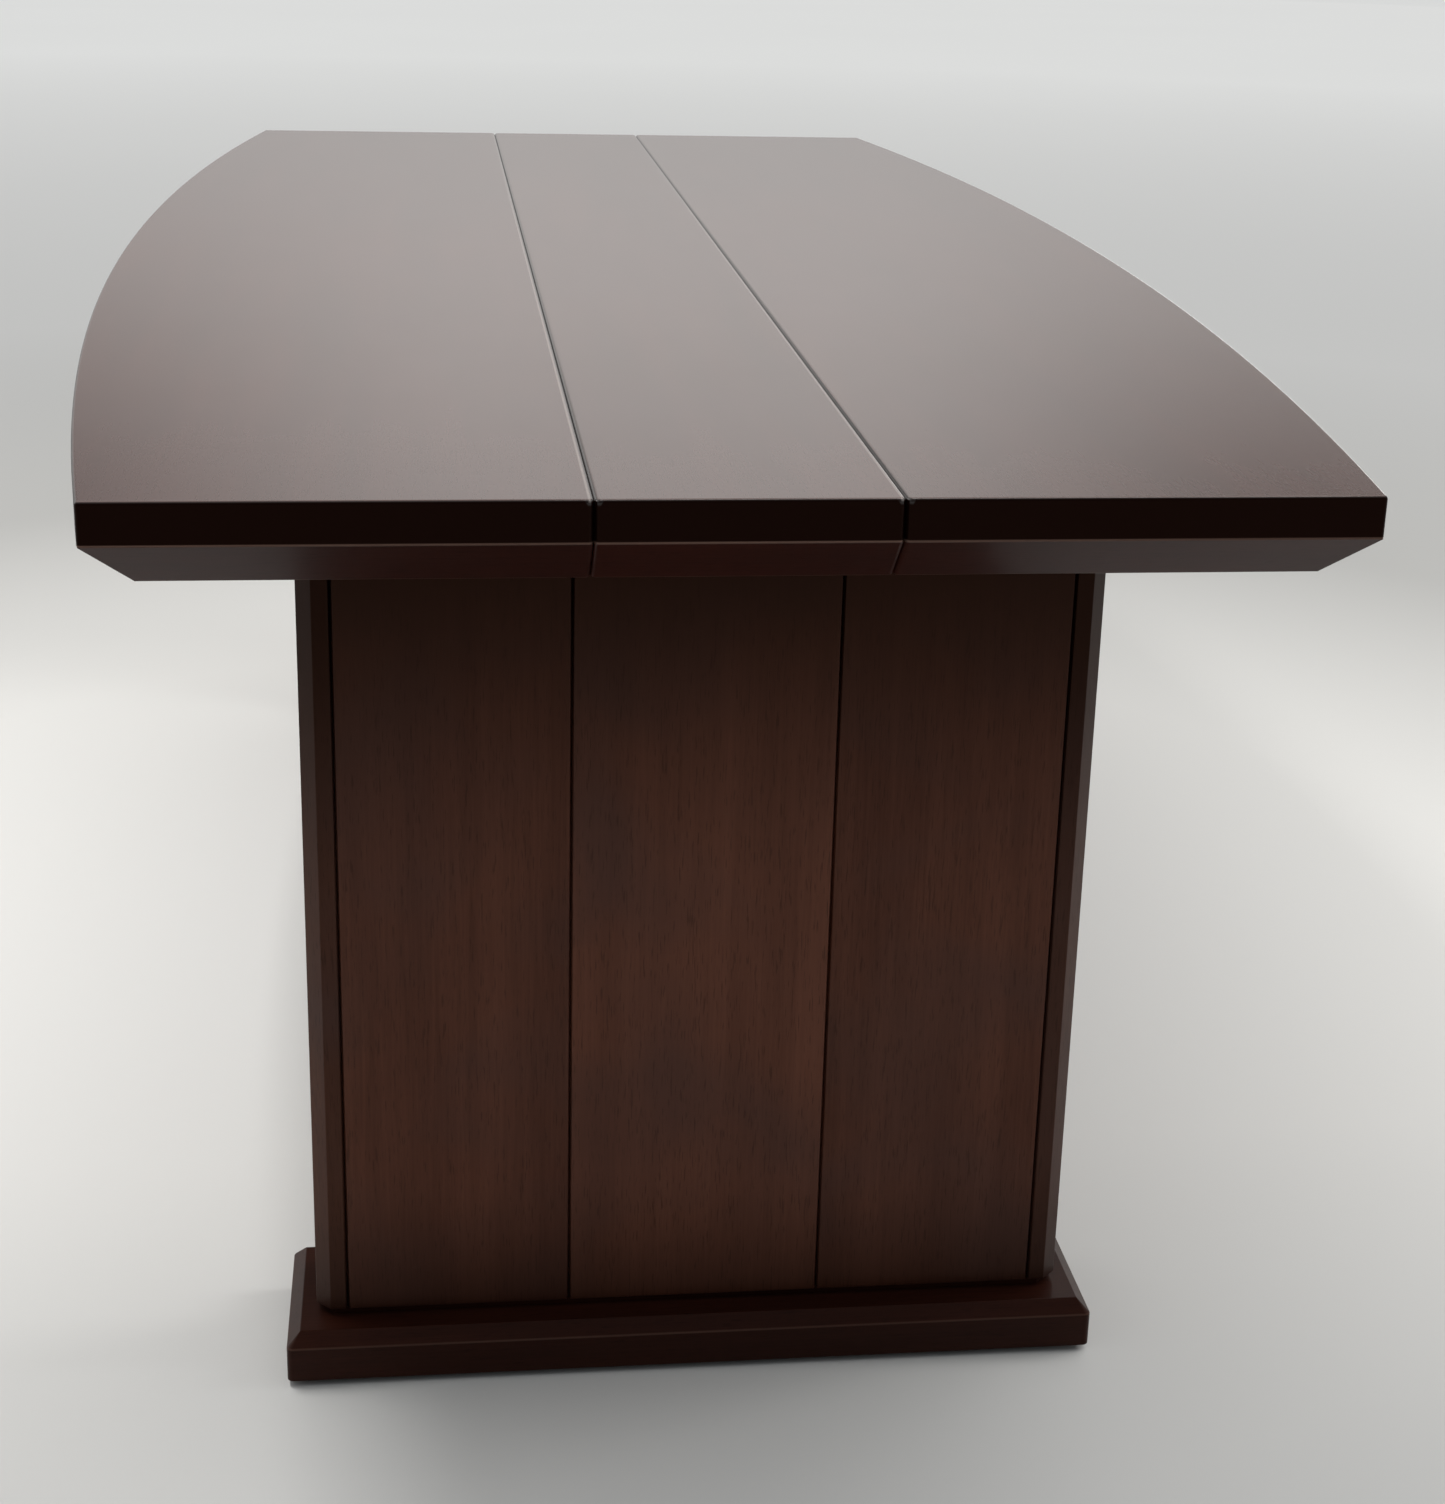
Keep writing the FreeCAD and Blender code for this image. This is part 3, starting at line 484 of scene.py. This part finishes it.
# A top board: its outline carried up from the seam, round the lower arc, and eased inwards at the
# top by a quarter-round. "joints" gives the places of the joint edges in the outline.
def makeTopBoard(name, outline, board, joints):
    node = "top_board_" + name
    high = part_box(node)[1]
    under = lowerArc(seamTurn, 0, 4)[:, ::-1]
    over = quarterRound(topBoards["arris"], 6)[::-1] * (-1, 1) + (high.z, 0)
    stations = np.concatenate([under, over])
    shares = np.ones(len(outline))
    shares[joints] = topBoards["jointSpread"]
    rings = carried(outline, topBoards["cornerRadius"], stations, shares=shares)
    piece = skin("top-" + name + "-board", rings, topVeneer, board)
    settle(piece, node)


centreOutline = np.concatenate([jointEdge(-rightLow.x, 1), jointEdge(-rightLow.x, -1)])
makeTopBoard("centre", centreOutline, 0.31, [1, 5])
makeTopBoard("left", sideBoardOutline(-1), 0.62, [-3])
makeTopBoard("right", sideBoardOutline(1), 0.17, [-3])
print("top boards made")

bevelStrips = {
    "bottomArris": 0.0016,
    "jointArris": 0.0034,
    "arcPoints": 61,
}
stripWidth = stripHigh.y - stripLow.y


# The section of a strip, from the seam round the arc and down the bevel: distance in, and height.
def stripSection():
    arc = lowerArc(seamTurn, bevelTurn, 5)
    rest = [(bevel["inset"], stripLow.z), (stripWidth, stripLow.z), (stripWidth, stripHigh.z)]
    corners = np.concatenate([arc, rest])
    radii = np.full(len(corners), leastRadius)
    radii[len(arc)] = bevelStrips["bottomArris"]
    return ringAt(corners, radii, 0.0, 5)


# The mitre runs straight from the top's corner to the corner where the strips' inner edges meet.
innerEnd = halfLength - stripWidth
innerCorner = (sideCentre + math.sqrt((sideRadius - stripWidth) ** 2 - innerEnd ** 2), innerEnd)
mitreSlope = (halfEnd - innerCorner[0]) / stripWidth
bevelReach = stripWidth * math.cos(bevelTurn)


# A strip along an end. At a joint its section shrinks towards its inner top corner, so the bevel
# falls back by the quarter-round's inset.
def makeEndStrip(endName, end, name, column, board):
    node = f"edge_strip_{endName}_{name}"
    low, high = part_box(node)
    section = stripSection()
    corner = np.array([stripWidth, stripHigh.z])
    leftJoint = bevelStrips["jointArris"] if column >= 0 else 0.0
    rightJoint = bevelStrips["jointArris"] if column <= 0 else 0.0
    stations = roundedEnds(low.x, high.x, leftJoint, rightJoint)
    scale = 1 - stations[:, 1] / bevelReach
    rings = corner + (section - corner) * scale[:, None, None]
    y = end * (halfLength - rings[..., 0])
    x = np.broadcast_to(stations[:, 0][:, None], y.shape)
    if column:
        # towards the mitre, x is drawn back in proportion to the distance in from the edge
        joint = column * rightLow.x
        share = (x - joint) / (column * halfEnd - joint)
        x = x - column * share * mitreSlope * rings[..., 0]
    rings = np.stack([x, y, rings[..., 1]], -1)[:, ::-end]
    piece = skin(f"bevel-{endName}-{name}", rings, bevelVeneer, board)
    settle(piece, node)


for endName, end in (("near", -1), ("far", 1)):
    for name, column in (("left", -1), ("centre", 0), ("right", 1)):
        makeEndStrip(endName, end, name, column, 0.5 + 0.13 * column + 0.3 * end)


# A long strip: the section carried round the bowed side. Each line of it ends where its circle
# meets the mitre line, x = halfEnd - slope * (halfLength - y).
def makeSideStrip(name, turn, board):
    node = f"edge_strip_{name}_side"
    section = stripSection()
    radius = sideRadius - section[:, 0]
    offset = halfEnd - mitreSlope * halfLength - sideCentre
    a = 1 + mitreSlope ** 2
    b = 2 * mitreSlope * offset
    c = offset ** 2 - radius ** 2
    endLine = (-b + np.sqrt(b * b - 4 * a * c)) / (2 * a)
    angle = np.linspace(-1, 1, bevelStrips["arcPoints"])[:, None] * np.arcsin(endLine / radius)
    x = turn * (sideCentre + radius * np.cos(angle))
    y = turn * radius * np.sin(angle)
    rings = np.stack([x, y, np.broadcast_to(section[:, 1], x.shape)], -1)
    piece = skin("bevel-" + name + "-side", rings, bevelVeneer, board)
    settle(piece, node)


makeSideStrip("right", 1, 0.83)
makeSideStrip("left", -1, 0.44)
print("bevelled strips made")

legBoards = {
    "arris": 0.0009,
    "chamfer": 0.0115,
    "chamferArris": 0.0013,
    "grooveHalf": 0.0015,
    "grooveDepth": 0.0042,
    "bottomEase": 0.0006,
    "topEase": 0.0003,
}
plinths = {
    "chamfer": 0.0105,
    "corner": 0.005,
    "arris": 0.0012,
    "bottomEase": 0.0008,
    "neckArris": 0.0005,
    "neckEase": 0.0001,
}


# A box's outline seen from above, counter-clockwise.
def rectangle(low, high):
    return [(low.x, low.y), (high.x, low.y), (high.x, high.y), (low.x, high.y)]


# A facing board: a rectangle whose outer corners are cut back to make half of a narrow V-groove.
def makeFacing(node, way, board):
    low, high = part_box(node)
    half, deep = legBoards["grooveHalf"], legBoards["grooveDepth"]
    face, back = (high.y, low.y) if way > 0 else (low.y, high.y)
    outline = np.array([
        (low.x + half, face), (high.x - half, face), (high.x, face - way * deep),
        (high.x, back), (low.x, back), (low.x, face - way * deep),
    ])[::-way]
    stations = roundedEnds(low.z, high.z, legBoards["bottomEase"], legBoards["topEase"])
    rings = carried(outline, legBoards["arris"], stations)
    piece = skin(node.replace("_", "-"), rings, legVeneer, board)
    settle(piece, node)


# A corner post: its outer corners are cut at 45 degrees, and its inner ones make half a groove each.
def makeStile(node, way, board):
    low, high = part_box(node)
    cut, half, deep = legBoards["chamfer"], legBoards["grooveHalf"], legBoards["grooveDepth"]
    outer, inner = (high.x, low.x) if way > 0 else (low.x, high.x)
    outline = np.array([
        (inner + way * half, low.y), (outer - way * cut, low.y), (outer, low.y + cut),
        (outer, high.y - cut), (outer - way * cut, high.y), (inner + way * half, high.y),
        (inner, high.y - deep), (inner, low.y + deep),
    ])[::way]
    stations = roundedEnds(low.z, high.z, legBoards["bottomEase"], legBoards["topEase"])
    rings = carried(outline, legBoards["chamferArris"], stations)
    piece = skin(node.replace("_", "-"), rings, stileVeneer, board)
    settle(piece, node)


# The neck: a shallow block whose corners are cut at 45 degrees, as the leg's are above it.
def makeNeck(node):
    low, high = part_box(node)
    cut = legBoards["chamfer"]
    outline = [
        (low.x, low.y + cut), (low.x + cut, low.y), (high.x - cut, low.y), (high.x, low.y + cut),
        (high.x, high.y - cut), (high.x - cut, high.y), (low.x + cut, high.y), (low.x, high.y - cut),
    ]
    stations = roundedEnds(low.z, high.z, plinths["neckEase"], plinths["neckEase"])
    rings = carried(outline, plinths["neckArris"], stations)
    piece = skin(node.replace("_", "-"), rings, plinthVeneer, 0.5)
    settle(piece, node)


# The plinth: a rectangle that stands straight, then draws in at 45 degrees to its top, with the
# two arrises and the bottom edge eased.
def makePlinth(node, board):
    low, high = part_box(node)
    cut, ease = plinths["chamfer"], plinths["arris"]
    bottom = quarterRound(plinths["bottomEase"], 4) + (low.z, 0)
    a = np.radians(np.linspace(0, 45, 4))
    slack = ease * math.tan(math.radians(22.5))
    face = high.z - cut - slack
    lower = np.stack([face + ease * np.sin(a), ease * (1 - np.cos(a))], 1)
    b = np.radians(np.linspace(45, 90, 4))
    upper = np.stack([high.z - ease + ease * np.sin(b), cut + slack - ease * np.cos(b)], 1)
    stations = np.concatenate([bottom, lower, upper])
    rings = carried(rectangle(low, high), plinths["corner"], stations, steps=7)
    piece = skin(node.replace("_", "-"), rings, plinthVeneer, board)
    settle(piece, node)


# The board values only have to be unlike, so that no two boards match.
for number, end in enumerate(("near", "far")):
    for face, way in (("outer", 2 * number - 1), ("inner", 1 - 2 * number)):
        for column, name in enumerate(("left", "centre", "right")):
            board = 0.11 + 0.37 * column + 0.23 * number + 0.5 * (face == "inner")
            makeFacing(f"leg_{end}_{face}_board_{name}", way, board)
    makeStile(f"leg_{end}_stile_left", -1, 0.35 + number)
    makeStile(f"leg_{end}_stile_right", 1, 0.75 + number)
    makeNeck(f"leg_{end}_neck")
    makePlinth("plinth_" + end, 0.4 + 0.5 * number)
print("legs and plinths made")

bars = {
    "battenArris": 0.0015,
    "beamArris": 0.002,
}


# A bar of rectangular section with every edge eased, carried along the last of its axes.
def makeBar(node, material, axes, arris, board):
    low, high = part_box(node)
    across, up, along = ("xyz".index(axis) for axis in axes)
    outline = [
        (low[across], low[up]), (high[across], low[up]),
        (high[across], high[up]), (low[across], high[up]),
    ]
    stations = roundedEnds(low[along], high[along], arris, arris)
    rings = carried(outline, arris, stations, axes)
    piece = skin(node.replace("_", "-"), rings, material, board)
    settle(piece, node)


for name in ("near", "middle", "far"):
    makeBar("top_batten_" + name, coreTimber, "yzx", bars["battenArris"], 0.3)
makeBar("stretcher_beam", legVeneer, "zxy", bars["beamArris"], 0.9)

# What keeps its CAD shape takes a finish of its own.
finishOf = {
    "core_wood": coreTimber,
    "black_steel": blackPaint,
    "zinc_steel": zincPlate,
    "foot_steel": dullSteel,
    "leg_veneer": legVeneer,
    "top_veneer": topVeneer,
    "plinth_veneer": plinthVeneer,
}
for entry in frame["record"]["subparts"]:
    cad = nodes[entry["node"]]
    cad.data.materials.clear()
    cad.data.materials.append(finishOf[entry["material_slot"]])
print("finishes given to the remaining pieces")

# The floor's paleness in rings round the table (share of the reach, colour), with painted shade in the
# dim ring about two metres out, a painted shadow darkening the near side, and a faint dapple.
floorTones = {
    "reach": 12.0,
    "rings": [
        # the dim ring at 0.17 of the reach is painted shade
        (0.00, (0.66, 0.66, 0.655)), (0.09, (0.67, 0.665, 0.65)), (0.17, (0.49, 0.487, 0.475)),
        (0.32, (0.66, 0.66, 0.655)), (1.00, (0.92, 0.925, 0.92)),
    ],
    "nearShadowColour": (0.33, 0.345, 0.36), "nearShadowShare": 0.30, "nearShadowSpan": (-1.15, -0.5),
    "dappleColour": (0.60, 0.595, 0.58), "dappleShare": 0.06, "dappleScale": 0.6,
    "roughness": 0.7,
}


def floorFinish(name):
    g = Finish(bpy.data.materials.new(name))
    place = g.coordinates()
    away = g.node("ShaderNodeVectorMath", {"operation": "LENGTH"}, {0: place}, 1)
    rings = {"stops": floorTones["rings"]}
    paleness = g.node("ShaderNodeValToRGB", rings, {0: away / floorTones["reach"]})
    depth = g.apart(place)[1]
    # painted shadow: the floor turns darker and cooler towards the near side, standing in for the shade
    # under the table's near end
    near = g.remap(depth, *floorTones["nearShadowSpan"], floorTones["nearShadowShare"], 0.0)
    paleness = g.blend(near, paleness, (*floorTones["nearShadowColour"], 1))
    dapple = g.noise(place, floorTones["dappleScale"], 2) * floorTones["dappleShare"]
    colour = g.blend(dapple, paleness, (*floorTones["dappleColour"], 1))
    shader = {"Base Color": colour, "Roughness": floorTones["roughness"], "Specular IOR Level": 0.0}
    return g.finish(g.node("ShaderNodeBsdfPrincipled", None, shader))


floorMaterial = floorFinish("pale-floor")


# A profile of (distance from the middle, height) points turned round the table:
# (r cos t, r sin t, z), with t all the way round. A capped one is filled inside its first ring.
def makeStage(name, profile, capped=False, steps=96):
    t = np.linspace(0, 2 * math.pi, steps, endpoint=False)
    r, z = np.asarray(profile, float).T[..., None]
    points = np.stack([r * np.cos(t), r * np.sin(t), np.broadcast_to(z, (len(profile), steps))], -1)
    index = np.arange(len(profile) * steps).reshape(-1, steps)
    after = np.roll(index, -1, 1)
    faces = np.stack([index[:-1], index[1:], after[1:], after[:-1]], -1).reshape(-1, 4).tolist()
    if capped:
        faces.append(index[0].tolist())
    mesh = bpy.data.meshes.new(name)
    mesh.from_pydata(points.reshape(-1, 3).tolist(), [], faces)
    mesh.shade_smooth()
    mesh.materials.append(floorMaterial)
    piece = bpy.data.objects.new(name, mesh)
    scene.collection.objects.link(piece)
    return piece


# The floor is flat, and far off it sweeps up into a wall that only the camera sees.
stage = {"middle": 0.5, "reach": 21.0, "sweep": 5.0, "wall": 14.0}
climb = np.linspace(0, math.pi / 2, 12)
sweep = np.stack([np.sin(climb), 1 - np.cos(climb)], 1) * stage["sweep"] + (stage["reach"], 0)
makeStage("floor", [(stage["middle"], 0), (stage["reach"], 0)], capped=True)
wall = makeStage("wall", np.concatenate([sweep, [(sweep[-1, 0], stage["wall"])]]))
wall.visible_diffuse = False
wall.visible_glossy = False
wall.visible_shadow = False

# The room's light by direction: x to the right, y away from the camera and z up, each -1 to 1.
# A pair of numbers says where that part begins and where it is full, and "beside" how much of
# the window's light is taken away low down and higher up.
room = {
    "front": 0.20, "frontColour": (0.95, 1.0, 1.03),
    "back": 0.55, "backColour": (1.0, 0.985, 0.965), "backDepth": (-0.7, 0.5),
    "horizon": 0.16, "horizonHeight": (0.09, 0.17), "farDepth": (0.2, 0.8),
    "overhead": 1.25, "overheadLean": (0.5, 0.86), "overheadReach": (0.35, 0.95),
    "overheadHeight": (0.28, 0.55),
    "sides": 0.8, "sidesAcross": (0.35, 0.75), "sidesHeight": (0.15, 0.5), "sidesDepth": (-0.8, -0.1),
    "window": 0.096, "windowFade": (0.06, 0.29),
    "beside": (0.06, 0.72), "besideHeight": (0.11, 0.24),
    "glow": 2.2, "glowHeight": (0.03, 0.09), "glowSlope": (0.26, 0.33), "glowDepth": (0.3, 0.6),
}


# Light that comes from all round: dim in front, bright behind and overhead. Behind the far end it
# is a bright window with soft sides, so the sides of the top are darker in its gloss.
def makeRoom():
    world = bpy.data.worlds.new("soft room")
    g = Finish(world)
    x, y, z = g.apart(g.node("ShaderNodeTexCoord", None, None, "Generated"))
    back = g.remap(y, *room["backDepth"], 0.0, 1.0, True)
    far = g.remap(y, *room["farDepth"])
    level = room["front"] + back * (room["back"] - room["front"])
    level = level + g.remap(z, *room["horizonHeight"], 0.0, room["horizon"]) * far
    # the window: the slope x / y is the same along any upright line of the far wall
    slope = x / y.math("MAXIMUM", y, 0.02)
    aside = g.remap(abs(slope - room["window"]), *room["windowFade"], 0.0, 1.0, True)
    fade = aside * g.remap(z, *room["besideHeight"], *room["beside"]) * far
    glow = g.remap(z, *room["glowHeight"], 1.0, 0.0) * g.remap(slope, *room["glowSlope"])
    glow = glow * g.remap(y, *room["glowDepth"])
    level = level * (1 - fade) + glow * room["glow"]
    flank = g.remap(abs(x), *room["sidesAcross"], 0.0, 1.0, True)
    flank = flank * g.remap(z, *room["sidesHeight"]) * g.remap(y, *room["sidesDepth"])
    level = level + flank * (room["sides"] - level)
    lean, lift = room["overheadLean"]
    over = g.remap(y * lean + z * lift, *room["overheadReach"], 0.0, 1.0, True)
    over = over * g.remap(z, *room["overheadHeight"])
    level = level + over * (room["overhead"] - level)
    colour = g.blend(back, (*room["frontColour"], 1), (*room["backColour"], 1))
    light = g.node("ShaderNodeBackground", None, {"Color": colour, "Strength": level})
    scene.world = g.finish(light, "ShaderNodeOutputWorld")


makeRoom()

# Area lights that the camera doesn't see. One may be left out of the gloss, or out of all else.
lamps = {
    "leftCeilingLamp": {
        "place": (-1.12, 0.0, 3.2), "aim": (-1.12, 0.0, 0), "size": (0.5, 1.4),
        "power": 19, "spread": 90, "gloss": False, "fill": True,
    },
    "rightCeilingLamp": {
        "place": (1.4, 0.0, 3.2), "aim": (1.4, 0.0, 0), "size": (0.9, 1.6),
        "power": 14, "spread": 180, "gloss": False, "fill": True,
    },
    "ceilingGlint": {
        "place": (0.65, -0.7, 3.1), "aim": (0.65, -0.7, 0), "size": (1.3, 0.3),
        "power": 11, "spread": 180, "gloss": True, "fill": False,
    },
    "sideWindow": {
        "place": (-4.2, 1.9, 2.2), "aim": (0, 0, 0.3), "size": (1.4, 1.4),
        "power": 16, "spread": 180, "gloss": True, "fill": False,
    },
    "rightFill": {
        "place": (2.6, -0.5, 1.8), "aim": (0.4, -0.8, 0), "size": (1.2, 1.2),
        "power": 29, "spread": 180, "gloss": False, "fill": True,
    },
}
warmWhite = (1.0, 0.985, 0.96)


def softbox(name, lamp):
    light = bpy.data.lights.new(name, "AREA")
    light.shape = "RECTANGLE"
    light.size, light.size_y = lamp["size"]
    light.energy = lamp["power"]
    light.color = warmWhite
    light.spread = math.radians(lamp["spread"])
    piece = bpy.data.objects.new(name, light)
    place, aim = Vector(lamp["place"]), Vector(lamp["aim"])
    piece.location = place
    piece.rotation_euler = (aim - place).to_track_quat("-Z", "Y").to_euler()
    piece.visible_camera = False
    piece.visible_glossy = lamp["gloss"]
    piece.visible_diffuse = lamp["fill"]
    scene.collection.objects.link(piece)


for name, lamp in lamps.items():
    softbox(name, lamp)

view = {
    "place": (-0.2066, -2.5848, 1.1558),
    "yaw": 7.310,
    "pitch": 18.547,
    "roll": -1.539,
    "lens": 60.137,
    "sensor": 36.0,
    "shiftX": -0.0062,
    "shiftY": -0.0405,
}


# Forward is (sin yaw cos pitch, cos yaw cos pitch, -sin pitch), and the roll turns the picture
# about it.
def aimCamera(camera):
    yaw, pitch, roll = (math.radians(view[name]) for name in ("yaw", "pitch", "roll"))
    flat = math.cos(pitch)
    ahead = Vector((math.sin(yaw) * flat, math.cos(yaw) * flat, -math.sin(pitch)))
    level = Vector((math.cos(yaw), -math.sin(yaw), 0))
    down = ahead.cross(level)
    right = math.cos(roll) * level + math.sin(roll) * down
    fall = -math.sin(roll) * level + math.cos(roll) * down
    turn = Matrix((right, -fall, -ahead)).transposed()
    camera.matrix_world = Matrix.Translation(view["place"]) @ turn.to_4x4()


lens = bpy.data.cameras.new("camera")
lens.lens = view["lens"]
lens.sensor_width = view["sensor"]
lens.shift_x = view["shiftX"]
lens.shift_y = view["shiftY"]
camera = bpy.data.objects.new("camera", lens)
scene.collection.objects.link(camera)
aimCamera(camera)
scene.camera = camera
scene.view_settings.view_transform = "Standard"
print("floor, light and camera set")
